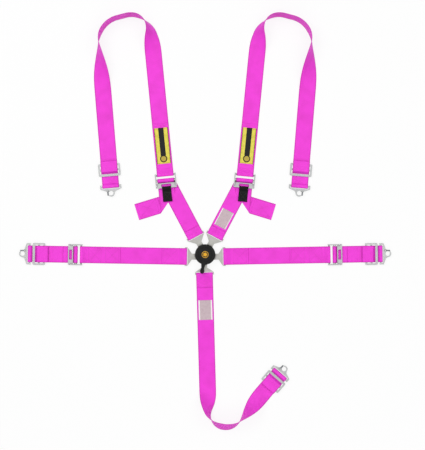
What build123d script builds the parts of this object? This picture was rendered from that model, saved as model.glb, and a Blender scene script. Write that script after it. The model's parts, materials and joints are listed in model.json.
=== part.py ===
"""Racing harness with five straps, a cam lock buckle, bar adjusters, slides and snap hooks.

The harness lies spread out on its back.  Origin: the centre of the buckle's underside.
+X runs to the wearer's left lap strap, +Y up the shoulder straps, +Z away from the wearer.
Each strap is laid out in a lane: u runs along the strap, v across it and z up from the floor.
"""
import os
from math import asin, cos, degrees, radians, sin

from build123d import *

# ---------------------------------------------------------------- webbing
web_w = 50.0            # width of every strap
web_t = 1.4             # thickness of the woven strap
gap = 0.3               # running room between webbing and the metal it passes round
half_t = web_t / 2
low = half_t            # height of the centreline of webbing on the floor
bite = 0.1              # how far a sewn ply is pulled into the one below
doubled = 1.5 * web_t - bite  # the centreline of a second ply, sewn on top of the first
sewn_top = 2 * web_t - bite   # the top of two plies sewn together
ply = 0.2               # room between two plies that are not sewn

# ---------------------------------------------------------------- buckle
buckle_d = 61.0         # outer diameter of the buckle's housing
base_t = 4.2            # thickness of the base plate
tongue_t = 2.6          # thickness of the tongue plates
tongue_gap = 0.2        # room above and below a tongue in the buckle
neck_w = 18.0           # width of a tongue's neck
channel_play = 1.1      # room each side of a neck, for the tongue to swivel
pin_r = 2.5             # radius of a locking pin
pin_play = 0.1          # running room round a locking pin
pin_sink = 0.9          # how far the locking pins reach into the base
roof_t = 2.6            # thickness of the housing's roof
housing_wall = 3.0      # thickness of the housing's rim
cavity_h = 9.8          # height of the space for the release mechanism
lift = 3.8              # travel of the locking pins
carrier_t = 2.0         # thickness of the plate that holds the locking pins
stem_r = 6.0            # radius of the lever's stem
pivot_r = 2.5           # radius of the centre pivot
cam_r = 16.0            # radius of the cam disc
cam_t = 2.2             # height of the cam disc with its rim
cam_web = 1.0           # thickness of the cam disc's web
spring_r = 7.4          # coil radius of the carrier spring
spring_wire = 0.45      # radius of the spring's wire
spring_turns = 3        # turns of the carrier spring
spring_play = 0.05      # room above and below the carrier spring
arm_reach = 11.0        # from the housing's edge to the lever's waist
knob_r = 20.0           # radius of the turning knob on top of the housing
knob_h = 3.6            # height of the knob
badge_r = 11.5          # radius of the plain badge in the knob
badge_t = 0.8           # thickness of the badge
lever_past = 27.5       # how far the lever's tip reaches past the housing
lever_w = 12.5          # width of the lever at the housing and at the tip
lever_waist = 9.0       # width of the lever between them
lever_t = 3.0           # thickness of the lever
lever_angle = -100.0    # heading of the lever, a little left of straight down
screw_ring = 26.2       # radius of the circle of base screws
screw_r = 1.5           # radius of a base screw
screw_head_r = 3.0      # radius of the recess for its head
screw_head_t = 1.6      # depth of that recess
screw_grip = 3.0        # how far the screws reach into the housing
screw_angles = (22.5, 157.5, -55.0, -125.0)

# ---------------------------------------------------------------- tongues
slot_play = 0.4         # room each side of the webbing in a tongue's slot
plate_rim = 2.6         # width of a tongue beside its webbing slot
slot_w = web_w + 2 * slot_play    # width of the webbing slot in a tongue
plate_w = slot_w + 2 * plate_rim  # width of a tongue across its webbing slot
short_bar = plate_w     # from the lane's start to the inner edge of a lap or crotch tongue's bar
bar_step = 5.0          # how much further out a shoulder tongue's bar is, as they stand side by side
long_bar = short_bar + bar_step
bar_l = 5.0             # length of a tongue's bar along the strap
slot_l = 3.2            # length of the webbing slot along the strap
flare_in = 40.0         # where a tongue's neck starts to widen

# ---------------------------------------------------------------- slides and hooks
slide_l = 38.0          # length of a slide along the strap
slide_play = 3.0        # room each side of the webbing in a slide
slide_rim = 5.0         # width of a slide beside its slots
slide_open = web_w + 2 * slide_play   # width of a slide's two slots
slide_w = slide_open + 2 * slide_rim  # width of a slide
slide_t = 3.0           # thickness of a slide
slide_bar = 7.0         # length of a slide's outer bars
slide_mid = 6.0         # length of a slide's middle bar
slide_z = 2 * web_t + ply + gap   # height of a slide's underside, over two plies of webbing
hook_t = 4.0            # thickness of a hook's plate
hook_bar_r = 2.2        # radius of the bar that the strap's end loops round
hook_z = 4.5            # height of that bar's axis
hook_play = 2.0         # room each side of the webbing in a hook
hook_lug = 5.0          # width of the lug at each end of the bar
hook_w = web_w + 2 * (hook_play + hook_lug)  # width of a hook across its bar
hook_neck = 7.6         # from the bar's axis to the end of the space for the webbing
hook_back = 3.5         # how far the hook's lugs reach behind the bar's axis
throat_r = 6.5          # radius of the hook's throat
throat_u = 21.0         # from the bar's axis to the throat's centre
mouth_w = 10.0          # width of the mouth that the gate closes
nose_r = 10.5           # outer radius of the hook round its throat
rivet_r = 1.5           # radius of the gate's rivet
rivet_play = 0.1        # running room round the rivet
gate_t = 1.6            # thickness of the gate's strip
gate_w = 4.4            # width of the gate's strip
gate_play = 1.0         # room in the mouth at each end of the gate's flange
gate_lift = 0.15        # room between the gate's strip and the hook's plate
rivet_head = 0.9        # how far the rivet's head reaches over the gate

# ---------------------------------------------------------------- bar adjusters
ear_l = 38.0            # length of an adjuster's side cheeks
ear_play = 3.0          # room each side of the webbing in an adjuster
ear_t = 3.5             # thickness of a cheek
ear_w = web_w + 2 * (ear_play + ear_t)  # width of an adjuster over its cheeks
ear_low = 2.2           # height of a cheek's underside
ear_h = 10.0            # height of a cheek
fixed_bar = -15.0       # place of the fixed bar, which is the adjuster's hinge
fixed_bar_r = 2.5       # radius of the fixed bar
fixed_bar_z = 4.5       # height of the fixed bar's axis
lock_bar = 1.0          # place of the knurled locking bar
lock_bar_r = 4.0        # radius of the locking bar
lock_bar_z = 8.2        # height of the locking bar's axis
spigot_r = 2.5          # radius of the locking bar's ends in the cheeks
lip_in = 9.0            # place of the lip's inner edge
lip_out = 24.0          # place of the lip's outer edge
lip_room = 2.6          # room between the lip and the two plies of webbing under it
lip_z = 2 * web_t + ply + lip_room      # height of the lip's underside
lip_t = 2.5             # thickness of the lip
lip_slot_w = 30.0       # width of the slot in the lip
lip_slot_l = 9.0        # length of the slot in the lip
lip_bar = 3.0           # length of the bar outside the slot
tab_w = 27.0            # width of a release tab
tab_l = 41.0            # length of a release tab beyond the lip
tab_t = 2.2             # thickness of a release tab
wrap_split = 0.6        # room between a strap's cut end and the wrap on the locking bar

# ---------------------------------------------------------------- layout of the straps
lap_y = -7.5            # the lap straps leave the buckle this far below its centre
lap_rise = 1.0          # degrees by which each lap strap rises outwards
lap_pin = 19.0          # place of a lap tongue's locking pin on its lane
lap_sewn = 130.0        # end of the ply sewn back from the tongue
lap_adjuster = 386.5    # place of the lap adjuster
lap_back_sewn = 254.0   # end of the ply sewn back from the adjuster
lap_slide = 498.0       # place of the lap slide
lap_tail = 40.0         # length of the free end beyond the locking bar
short_reach = 28.0      # from a slide's centre to its hook's bar, lap and crotch

shoulder_heading = 62.1  # heading of the right lower shoulder strap
shoulder_pin = 21.0     # place of a shoulder tongue's locking pin
shoulder_sewn = long_bar + 27.0  # end of the ply sewn back from the tongue
shoulder_adjuster = 252.3  # place of the shoulder adjuster on the lower strap's lane
upper_sewn = 170.0      # end of the ply sewn back from the adjuster
upper_flat = 365.0      # the upper strap lies flat as far as this
bend_inner = (168.0, 731.0)   # corner of the upper strap's turn, on the adjuster's side
bend_outer = (323.0, 690.0)   # corner of the turn, on the hook's side
bend_radii = (60.0, 75.0)     # radii of the turn's two corners
upper_slack = 225.0     # the upper strap is flat again this far before its slide
upper_turns = (150.0, 200.0, 96.0)  # lengths over which it stands up and lies down, and its angle
upper_slide = (287.0, 253.0)  # centre of the shoulder slide
long_reach = 48.7       # from a shoulder slide's centre to its hook's bar
tail_heading = -17.0    # heading of the right shoulder strap's free end
tail_tip = (206.5, 128.0)     # middle of the free end's tip
tail_l = 100.0          # length of the free end after it turns aside
tail_fold = 72.0        # length of its folded end

crotch_start = (-3.8, 0.0)    # start of the crotch strap's lane
crotch_corner = (13.0, -601.0)  # where the two straight runs would meet
crotch_radius = 54.0    # radius of the crotch strap's turn
crotch_pin = 20.5       # place of the crotch tongue's locking pin
crotch_sewn = 100.0     # end of the ply sewn back from the tongue
crotch_flat = 395.0     # the crotch strap lies flat as far as this
crotch_slide = (204.3, -380.7)  # centre of the crotch slide
crotch_slack = 32.0     # the crotch strap is flat again this far before its slide
crotch_turns = (140.0, 170.0, 119.0)  # lengths over which it stands up and lies down, and its angle
bend_stations = 24      # pieces of each standing bend

label_t = 0.5           # thickness of a sewn label
shoulder_label = (shoulder_sewn + 33.0, 55.0, 37.0)  # place, length and width of the right shoulder's label
crotch_label = (crotch_sewn + 67.0, 59.0, 41.0)      # place, length and width of the crotch strap's label
patch_l = 108.0         # length of the yellow patch on an upper strap
patch_w = 42.0          # width of the yellow patch
patch_u = 103.0         # place of the patch's middle on the upper strap

# ---------------------------------------------------------------- heights in the buckle
tongue_z = base_t + tongue_gap
rim_z = tongue_z + tongue_t + tongue_gap
roof_z = rim_z + cavity_h
top_z = roof_z + roof_t
carrier_z = rim_z + 1.4
pin_foot = base_t - pin_sink
cam_top = roof_z - 0.3
knob_z = top_z + 0.3
cavity_r = buckle_d / 2 - housing_wall

os.makedirs("parts", exist_ok=True)


def lane(x, y, heading):
    """A strap's lane: x along the strap, y across it, z up."""
    return Plane(origin=(x, y, 0), x_dir=(cos(radians(heading)), sin(radians(heading)), 0), z_dir=(0, 0, 1))


def along(place, u, v=0.0, z=0.0):
    """The same lane, started at u, v, z of the given one."""
    return Plane(origin=place.from_local_coords((u, v, z)), x_dir=place.x_dir, z_dir=place.z_dir)


def turned(place):
    """The same lane, run the other way."""
    return Plane(origin=place.origin, x_dir=-place.x_dir, z_dir=place.z_dir)


def side(place):
    """The upright plane along a lane: x along the strap, y up."""
    return Plane(origin=place.origin, x_dir=place.x_dir, z_dir=-place.y_dir)


def heading_between(start, end):
    """The heading in degrees from one point to another."""
    step = Vector(*end) - Vector(*start)
    return degrees(asin(step.Y / step.length)) if step.X > 0 else 180 - degrees(asin(step.Y / step.length))


def webbing(place, points, radii):
    """Webbing whose centreline runs through points (u, z) of a lane."""
    with BuildSketch(side(place)) as strip:
        with BuildLine():
            FilletPolyline(*points, radius=radii)
        trace(line_width=web_t)
    extrude(strip.sketch, amount=web_w / 2, both=True)


def save(builder, name):
    """Label a finished sub-part and write it."""
    builder.part.label = name
    export_step(builder.part, f"parts/{name}.step")


def save_mirrored(builder, name):
    """Write a sub-part of the right side and its mirror image on the left."""
    save(builder, f"{name}_right")
    with BuildPart() as left:
        mirror(builder.part, about=Plane.YZ)
    save(left, f"{name}_left")


# ---------------------------------------------------------------- lanes
lap = lane(0, lap_y, lap_rise)
lower = lane(0, 0, shoulder_heading)
crotch = lane(*crotch_start, heading_between(crotch_start, crotch_corner))
tongue_lanes = ((lap, lap_pin, short_bar), (lower, shoulder_pin, long_bar), (crotch, crotch_pin, short_bar))
adjuster_middle = along(lower, shoulder_adjuster).origin
upper = lane(
    adjuster_middle.X, adjuster_middle.Y,
    heading_between((adjuster_middle.X, adjuster_middle.Y), bend_inner),
)
upper_end = lane(*upper_slide, heading_between(bend_outer, upper_slide))
crotch_end = lane(*crotch_slide, heading_between(crotch_corner, crotch_slide))
tail = turned(lane(*tail_tip, tail_heading))
strap_lanes = [(place, pin) for place, pin, _ in tongue_lanes]
strap_lanes += [(lane(0, lap_y, 180 - lap_rise), lap_pin), (lane(0, 0, 180 - shoulder_heading), shoulder_pin)]
pin_spots = [along(place, pin).origin for place, pin in strap_lanes]
screw_spots = [
    (screw_ring * cos(radians(angle)), screw_ring * sin(radians(angle))) for angle in screw_angles
]

# ---------------------------------------------------------------- buckle, underside to top
with BuildPart() as buckle_base:
    with BuildSketch():
        Circle(cavity_r + housing_wall - 1)
    extrude(amount=rim_z)
    # The middle is cut down to the base plate, and a channel is cut for each tongue.
    with BuildSketch(Plane.XY.offset(base_t)):
        Circle(cavity_r - housing_wall - 1)
    extrude(amount=rim_z - base_t, mode=Mode.SUBTRACT)
    for place, pin in strap_lanes:
        with BuildSketch(along(place, 0, 0, base_t)):
            with Locations((buckle_d / 2, 0)):
                Rectangle(buckle_d, neck_w + 2 * channel_play)
        extrude(amount=rim_z - base_t, mode=Mode.SUBTRACT)
    with BuildSketch(Plane.XY.offset(pin_foot)):
        with Locations(*[(spot.X, spot.Y) for spot in pin_spots]):
            Circle(pin_r + pin_play)
    extrude(amount=base_t - pin_foot, mode=Mode.SUBTRACT)
    with BuildSketch():
        with Locations(*screw_spots):
            Circle(screw_r)
    extrude(amount=rim_z, mode=Mode.SUBTRACT)
    with BuildSketch():
        with Locations(*screw_spots):
            Circle(screw_head_r)
    extrude(amount=screw_head_t, mode=Mode.SUBTRACT)
save(buckle_base, "buckle_base")

with BuildPart() as centre_pivot:
    with BuildSketch(Plane.XY.offset(base_t)):
        Circle(pivot_r + 1.5)
    extrude(amount=1.5)
    with BuildSketch(Plane.XY.offset(base_t)):
        Circle(pivot_r)
    extrude(amount=top_z - base_t)
save(centre_pivot, "centre_pivot")

with BuildPart() as base_screws:
    with BuildSketch(Plane.XY.offset(0.2)):
        with Locations(*screw_spots):
            Circle(screw_head_r - 0.1)
    extrude(amount=screw_head_t - 0.2)
    with BuildSketch(Plane.XY.offset(screw_head_t)):
        with Locations(*screw_spots):
            Circle(screw_r)
    extrude(amount=rim_z + screw_grip - screw_head_t)
    with BuildSketch(Plane.XY.offset(0.2)):
        with Locations(*screw_spots):
            RegularPolygon(1.2, 6)
    extrude(amount=0.9, mode=Mode.SUBTRACT)
save(base_screws, "base_screws")

with BuildPart() as buckle_housing:
    with BuildSketch(Plane.XY.offset(rim_z)):
        Circle(buckle_d / 2)
    extrude(amount=top_z - rim_z)
    fillet(buckle_housing.edges().group_by(Axis.Z)[-1], radius=2.4)
    with BuildSketch(Plane.XY.offset(rim_z)):
        Circle(cavity_r)
        with Locations(*screw_spots):
            Circle(screw_head_r, mode=Mode.SUBTRACT)
    extrude(amount=roof_z - rim_z, mode=Mode.SUBTRACT)
    with BuildSketch(Plane.XY.offset(roof_z)):
        Circle(stem_r + 0.1)
    extrude(amount=roof_t, mode=Mode.SUBTRACT)
    with BuildSketch(Plane.XY.offset(rim_z)):
        with Locations(*screw_spots):
            Circle(screw_r)
    extrude(amount=screw_grip, mode=Mode.SUBTRACT)
save(buckle_housing, "buckle_housing")

with BuildPart() as pin_carrier:
    with BuildSketch(Plane.XY.offset(carrier_z)):
        Circle(stem_r + 4)
        for spot in pin_spots:
            with BuildLine():
                Line((0, 0), (spot.X, spot.Y))
            trace(line_width=2 * pin_r + 2)
        with Locations(*[(spot.X, spot.Y) for spot in pin_spots]):
            Circle(pin_r + 1)
        Circle(pivot_r + 0.3, mode=Mode.SUBTRACT)
    extrude(amount=carrier_t)
    with BuildSketch(Plane.XY.offset(pin_foot + 0.1)):
        with Locations(*[(spot.X, spot.Y) for spot in pin_spots]):
            Circle(pin_r)
    extrude(amount=carrier_z - pin_foot)
save(pin_carrier, "pin_carrier")

spring_low = carrier_z + carrier_t + spring_wire + spring_play
spring_high = cam_top - cam_web - spring_wire - spring_play
spring_h = spring_high - spring_low
with BuildPart() as carrier_spring:
    with BuildLine():
        Helix(spring_h / spring_turns, spring_h, spring_r, center=(0, 0, spring_low))
    with BuildSketch(Plane.XZ):
        with Locations((spring_r, spring_low)):
            Circle(spring_wire)
    sweep(is_frenet=True)
save(carrier_spring, "carrier_spring")

with BuildPart() as cam_disc:
    with BuildSketch(Plane.XY.offset(cam_top - cam_t)):
        Circle(cam_r)
        Circle(cam_r - 5, mode=Mode.SUBTRACT)
        with PolarLocations(cam_r, 3):
            Circle(2.5, mode=Mode.SUBTRACT)
    extrude(amount=cam_t)
    with BuildSketch(Plane.XY.offset(cam_top - cam_web)):
        Circle(cam_r - 5)
        Circle(stem_r, mode=Mode.SUBTRACT)
    extrude(amount=cam_web)
save(cam_disc, "cam_disc")

lever_lane = lane(0, 0, lever_angle)
lever_reach = buckle_d / 2 + lever_past
tip_r = lever_w / 2
edge = (buckle_d / 2, tip_r)
waist = (buckle_d / 2 + arm_reach, lever_waist / 2)
shoulder = (lever_reach - tip_r, tip_r)
with BuildPart() as release_lever:
    with BuildSketch(Plane.XY.offset(knob_z)):
        Circle(knob_r)
    extrude(amount=knob_h)
    fillet(release_lever.edges().group_by(Axis.Z)[-1], radius=1.2)
    # The arm runs over the housing's edge, narrows to a waist and ends in a round tip.
    with BuildSketch(along(lever_lane, 0, 0, knob_z)):
        with BuildLine():
            Spline((0, tip_r + 1), edge, waist, shoulder, tangents=((1, 0), (1, 0.1)))
            ThreePointArc(shoulder, (lever_reach, 0), (shoulder[0], -shoulder[1]))
            Spline(
                (shoulder[0], -shoulder[1]), (waist[0], -waist[1]), (edge[0], -edge[1]), (0, -tip_r - 1),
                tangents=((-1, 0.1), (-1, 0)),
            )
            Line((0, -tip_r - 1), (0, tip_r + 1))
        make_face()
    extrude(amount=lever_t)
    with BuildSketch(Plane.XY.offset(knob_z + knob_h - badge_t)):
        Circle(badge_r)
    extrude(amount=badge_t, mode=Mode.SUBTRACT)
    with BuildSketch(Plane.XY.offset(cam_top - cam_web)):
        Circle(stem_r)
    extrude(amount=knob_z - cam_top + cam_web)
    with BuildSketch(Plane.XY.offset(cam_top - cam_web)):
        Circle(pivot_r + 0.1)
    extrude(amount=top_z + 0.3 - cam_top + cam_web, mode=Mode.SUBTRACT)
save(release_lever, "release_lever")

with BuildPart() as badge_disc:
    with BuildSketch(Plane.XY.offset(knob_z + knob_h - badge_t)):
        Circle(badge_r)
    extrude(amount=badge_t)
    with BuildSketch(Plane.XY.offset(knob_z + knob_h)):
        Circle(badge_r - 1.5)
        Circle(badge_r - 3, mode=Mode.SUBTRACT)
        RegularPolygon(badge_r - 5, 5)
    extrude(amount=badge_t / 2)
save(badge_disc, "badge_disc")


# ---------------------------------------------------------------- tongues
def tongue(place, pin, bar_in):
    """A tongue plate: a round nose on the locking pin, a neck, and a slotted webbing plate."""
    flat = along(place, 0, 0, tongue_z)
    end = bar_in + bar_l
    with BuildPart() as made:
        with BuildSketch(flat):
            with BuildLine():
                half = [
                    (pin, neck_w / 2), (flare_in, neck_w / 2), (bar_in - slot_l - 2, plate_w / 2 - 3),
                    (bar_in - slot_l + 1, plate_w / 2), (end, plate_w / 2),
                ]
                outline = half + [(u, -v) for u, v in reversed(half)]
                Polyline(*outline)
                ThreePointArc(outline[-1], (pin - neck_w / 2, 0), outline[0])
            make_face()
            with Locations((bar_in - slot_l / 2, 0)):
                Rectangle(slot_l, slot_w, mode=Mode.SUBTRACT)
            with Locations((pin, 0)):
                Circle(pin_r + pin_play, mode=Mode.SUBTRACT)
        extrude(amount=tongue_t)
        # The webbing bears on the bar's four long edges, which are rounded.
        long_edges = ShapeList(
            edge for edge in made.edges()
            if edge.length > slot_w - 1
            and min(abs((edge @ 0.5 - flat.origin).dot(place.x_dir) - u) for u in (bar_in, end)) < 0.01
        )
        fillet(long_edges, radius=1.0)
    return made


save_mirrored(tongue(*tongue_lanes[0]), "lap_tongue")
save_mirrored(tongue(*tongue_lanes[1]), "shoulder_tongue")
save(tongue(*tongue_lanes[2]), "crotch_tongue")


# ---------------------------------------------------------------- routes of the webbing, in (u, z)
# The loop round a tongue's bar, from the end of the sewn ply to the floor beyond the bar.
tongue_low = tongue_z - gap - half_t
tongue_high = tongue_z + tongue_t + gap + half_t


def tongue_loop(sewn, bar_in):
    """The sewn ply over a tongue's bar and the ply under it: points and radii of each.

    The under ply has no last point: it goes on as the strap.
    """
    loop_in = bar_in - gap - half_t - 0.1
    past_bar = bar_in + bar_l + 2
    meet = (loop_in, (tongue_low + tongue_high) / 2)
    over = [(sewn, doubled), (past_bar + 15, doubled), (past_bar, tongue_high), (loop_in, tongue_high), meet]
    under = [meet, (loop_in, tongue_low), (past_bar, tongue_low), (past_bar + 7, low)]
    return over, [6, 4, 2.2], under, [2.2, 3, 3]


# The loop round an adjuster's fixed bar; a runs from the fixed bar towards the lip.
fixed_top = fixed_bar_z + fixed_bar_r + gap + half_t
fixed_out = fixed_bar + fixed_bar_r + gap + half_t


def fixed_loop(place, sewn):
    """The ply under the fixed bar and the sewn ply over it: points and radii of each.

    The under ply has no first point: it comes from the strap.
    """
    meet = (place + fixed_out, (low + fixed_top) / 2)
    under = [(place + fixed_out, low), meet]
    over = [
        meet, (place + fixed_out, fixed_top), (place + fixed_bar - 2.5, fixed_top),
        (place + fixed_bar - 16, doubled), (sewn, doubled),
    ]
    round_bar = fixed_bar_r + gap + half_t - 0.2
    return under, [round_bar], over, [round_bar, 4, 6]


# The wrap round the locking bar, from the cut under the bar to the ply under the lip.
wrap_low = lock_bar - lock_bar_r - gap - half_t
wrap_high = lock_bar + lock_bar_r + gap + half_t
wrap_top = lock_bar_z + lock_bar_r + gap + half_t
free_z = web_t + ply + half_t


def wrap_points(end):
    """Points and radii of the wrap, in the adjuster's lane."""
    points = [
        (lock_bar + 1, low), (wrap_low, low), (wrap_low, wrap_top), (wrap_high, wrap_top),
        (wrap_high, free_z), (end, free_z),
    ]
    over_bar = lock_bar_r + gap + half_t - 0.1
    return points, [2.4, over_bar, over_bar, 1.8]


# The route through a slide and round the hook's bar; u = 0 is the slide's middle.
over_mid = slide_z + slide_t + gap + half_t
over_both = over_mid + web_t + ply
under_both = free_z
over_hook = hook_z + hook_bar_r + gap + half_t


def slide_route(start, reach):
    """Points and radii of a strap's end: through the slide, round the hook's bar and back."""
    middle = slide_mid / 2 + 0.5
    inner = slide_l / 2 - slide_bar
    points = [
        (start, low), (-inner - 0.5, low), (-middle, over_mid), (middle, over_mid), (middle + 5.8, low),
        (reach + 3.5, low), (reach + 5.6, hook_z - 0.3), (reach + 3.5, over_hook), (reach - 3, over_hook),
        (reach - 8, under_both), (middle + 6.6, under_both), (middle + 0.8, over_both),
        (-middle + 1, over_both), (-inner - 0.5, over_mid), (-slide_l / 2 - 8, over_mid - 0.6),
    ]
    return points, [1.5, 1.5, 1.5, 1.5, 2.2, 2.2, 2.2, 1.5, 2, 1.5, 1.5, 1.5, 4]


def bend(path, start, end, rise, fall, peak):
    """A strap that stands up on its edge round a bend, as a ruled loft.

    path is the line of the strap's middle on the floor.  The strap turns from flat to the peak
    angle over the length rise, and back to flat over the length fall.
    """
    sections = []
    for number in range(bend_stations + 1):
        reached = start + (end - start) * number / bend_stations
        up = min(1.0, (reached - start) / rise)
        down = min(1.0, (end - reached) / fall)
        ease = min(up, down)
        tilt = radians(peak * ease * ease * (3 - 2 * ease))
        spot, ahead = path.position_at(reached / path.length), path.tangent_at(reached / path.length)
        right = Vector(ahead.Y, -ahead.X, 0)
        across = right * cos(tilt) + Vector(0, 0, sin(tilt))
        height = web_w / 2 * sin(tilt) + half_t * abs(cos(tilt))
        with BuildSketch(Plane(origin=(spot.X, spot.Y, height), x_dir=across, z_dir=ahead)) as section:
            Rectangle(web_w, web_t)
        sections.append(section.sketch)
    loft(sections, ruled=True)


# ---------------------------------------------------------------- lap straps
with BuildPart() as lap_strap:
    over, over_radii, under, under_radii = tongue_loop(lap_sewn, short_bar)
    back_under, back_under_radii, back_over, back_over_radii = fixed_loop(lap_adjuster, lap_back_sewn)
    webbing(lap, over, over_radii)
    webbing(lap, under + back_under, under_radii + back_under_radii)
    webbing(lap, back_over, back_over_radii)
save_mirrored(lap_strap, "lap_strap")

with BuildPart() as lap_anchor:
    points, radii = slide_route(lap_adjuster + lock_bar + 1 + wrap_split - lap_slide, short_reach)
    webbing(along(lap, lap_slide), points, radii)
save_mirrored(lap_anchor, "lap_anchor")

with BuildPart() as lap_wrap:
    points, radii = wrap_points(lap_tail)
    webbing(along(lap, lap_adjuster), points, radii)
save_mirrored(lap_wrap, "lap_wrap")

# ---------------------------------------------------------------- shoulder straps
# The adjuster's lane starts at its middle and runs down towards its lip.
upper_adjuster = turned(upper)
cut = along(upper_adjuster, lock_bar + 1 + wrap_split)
with BuildPart() as shoulder_lower:
    over, over_radii, under, under_radii = tongue_loop(shoulder_sewn, long_bar)
    webbing(lower, over, over_radii)
    webbing(lower, under + [(shoulder_adjuster + 20, low)], under_radii)
    split(bisect_by=Plane(origin=cut.origin, x_dir=cut.y_dir, z_dir=cut.x_dir), keep=Keep.TOP)
save_mirrored(shoulder_lower, "shoulder_lower")

with BuildLine() as upper_line:
    FilletPolyline((upper.origin.X, upper.origin.Y), bend_inner, bend_outer, upper_slide, radius=bend_radii)
upper_path = upper_line.wires()[0]
with BuildPart() as shoulder_upper:
    under, under_radii, over, over_radii = fixed_loop(0, -upper_sewn)
    webbing(upper_adjuster, [(-upper_flat, low)] + under, under_radii)
    webbing(upper_adjuster, over, over_radii)
    bend(upper_path, upper_flat, upper_path.length - upper_slack, *upper_turns)
    points, radii = slide_route(-upper_slack, long_reach)
    webbing(upper_end, points, radii)
save_mirrored(shoulder_upper, "shoulder_upper")

with BuildPart() as shoulder_tail:
    points, radii = wrap_points(lip_out + 22)
    webbing(upper_adjuster, points, radii)
    with BuildSketch(along(tail, 0, 0, web_t + ply)):
        with Locations((tail_l / 2, 0)):
            Rectangle(tail_l, web_w)
    extrude(amount=web_t)
    with BuildSketch(along(tail, 0, 0, ply)):
        with Locations((tail_fold / 2, 0)):
            Rectangle(tail_fold, web_w)
    extrude(amount=web_t)
save_mirrored(shoulder_tail, "shoulder_tail")

# ---------------------------------------------------------------- crotch strap
with BuildLine() as crotch_line:
    FilletPolyline(crotch_start, crotch_corner, crotch_slide, radius=crotch_radius)
crotch_path = crotch_line.wires()[0]
with BuildPart() as crotch_strap:
    over, over_radii, under, under_radii = tongue_loop(crotch_sewn, short_bar)
    webbing(crotch, over, over_radii)
    webbing(crotch, under + [(crotch_flat, low)], under_radii)
    bend(crotch_path, crotch_flat, crotch_path.length - crotch_slack, *crotch_turns)
    points, radii = slide_route(-crotch_slack, short_reach)
    webbing(crotch_end, points, radii)
save(crotch_strap, "crotch_strap")


# ---------------------------------------------------------------- bar adjusters
def adjuster_frame(place):
    """Two cheeks joined by the fixed bar and by a slotted lip; place points at the lip."""
    inner = ear_w / 2 - ear_t
    with BuildPart() as made:
        for hand in (-1, 1):
            with BuildSketch(side(along(place, 0, hand * (inner + ear_t / 2)))):
                with Locations((0, ear_low + ear_h / 2)):
                    RectangleRounded(ear_l, ear_h, 3)
                with Locations((lock_bar, lock_bar_z)):
                    Circle(spigot_r, mode=Mode.SUBTRACT)
            extrude(amount=ear_t / 2, both=True)
        with BuildSketch(side(place)):
            with Locations((fixed_bar, fixed_bar_z)):
                Circle(fixed_bar_r)
        extrude(amount=inner, both=True)
        with BuildSketch(along(place, 0, 0, lip_z)):
            with Locations(((lip_in + lip_out) / 2, 0)):
                RectangleRounded(lip_out - lip_in, ear_w, 1.5)
            with Locations((lip_out - lip_bar - lip_slot_l / 2, 0)):
                RectangleRounded(lip_slot_l, lip_slot_w, 1.5, mode=Mode.SUBTRACT)
        extrude(amount=lip_t)
    return made


def locking_bar(place):
    """The knurled bar between the cheeks, with a spigot in each."""
    inner = ear_w / 2 - ear_t
    with BuildPart() as made:
        with BuildSketch(side(place)):
            with Locations((lock_bar, lock_bar_z)):
                Circle(lock_bar_r)
        extrude(amount=inner, both=True)
        with BuildSketch(side(place)):
            with Locations((lock_bar, lock_bar_z)):
                Circle(spigot_r)
        extrude(amount=inner + ear_t, both=True)
    return made


lap_adjuster_lane = along(lap, lap_adjuster)
for name, place in (("lap", lap_adjuster_lane), ("shoulder", upper_adjuster)):
    save_mirrored(adjuster_frame(place), f"{name}_adjuster")
    save_mirrored(locking_bar(place), f"{name}_lock_bar")

tab_axis = lip_out - lip_bar / 2
tab_z = lip_z + lip_t / 2
tab_hole = 2.25
with BuildPart() as release_tab:
    with BuildSketch(side(upper_adjuster)):
        with Locations((tab_axis, tab_z)):
            Circle(tab_hole + 1.2)
        with BuildLine():
            far = lip_out + tab_l
            rest = free_z + half_t + gap
            Polyline(
                (tab_axis, tab_z + tab_hole + 1.2), (tab_axis + 9, rest + tab_t + 1.6), (far, rest + tab_t),
                (far, rest), (tab_axis + 8, rest + 0.6), (tab_axis + 1, tab_z - tab_hole - 0.8),
                (tab_axis, tab_z + tab_hole + 1.2),
            )
        make_face()
        with Locations((tab_axis, tab_z)):
            Circle(tab_hole, mode=Mode.SUBTRACT)
    extrude(amount=tab_w / 2, both=True)
save_mirrored(release_tab, "release_tab")


# ---------------------------------------------------------------- slides and snap hooks
def slide(place):
    """A flat frame with three bars."""
    opening = (slide_l - 2 * slide_bar - slide_mid) / 2
    with BuildPart() as made:
        with BuildSketch(along(place, 0, 0, slide_z)):
            RectangleRounded(slide_l, slide_w, 4)
            for hand in (-1, 1):
                with Locations((hand * (slide_mid + opening) / 2, 0)):
                    Rectangle(opening, slide_open, mode=Mode.SUBTRACT)
        extrude(amount=slide_t)
    return made


rivet_spot = (throat_u - mouth_w / 2 - 2.2, throat_r + 3.4)


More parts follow.
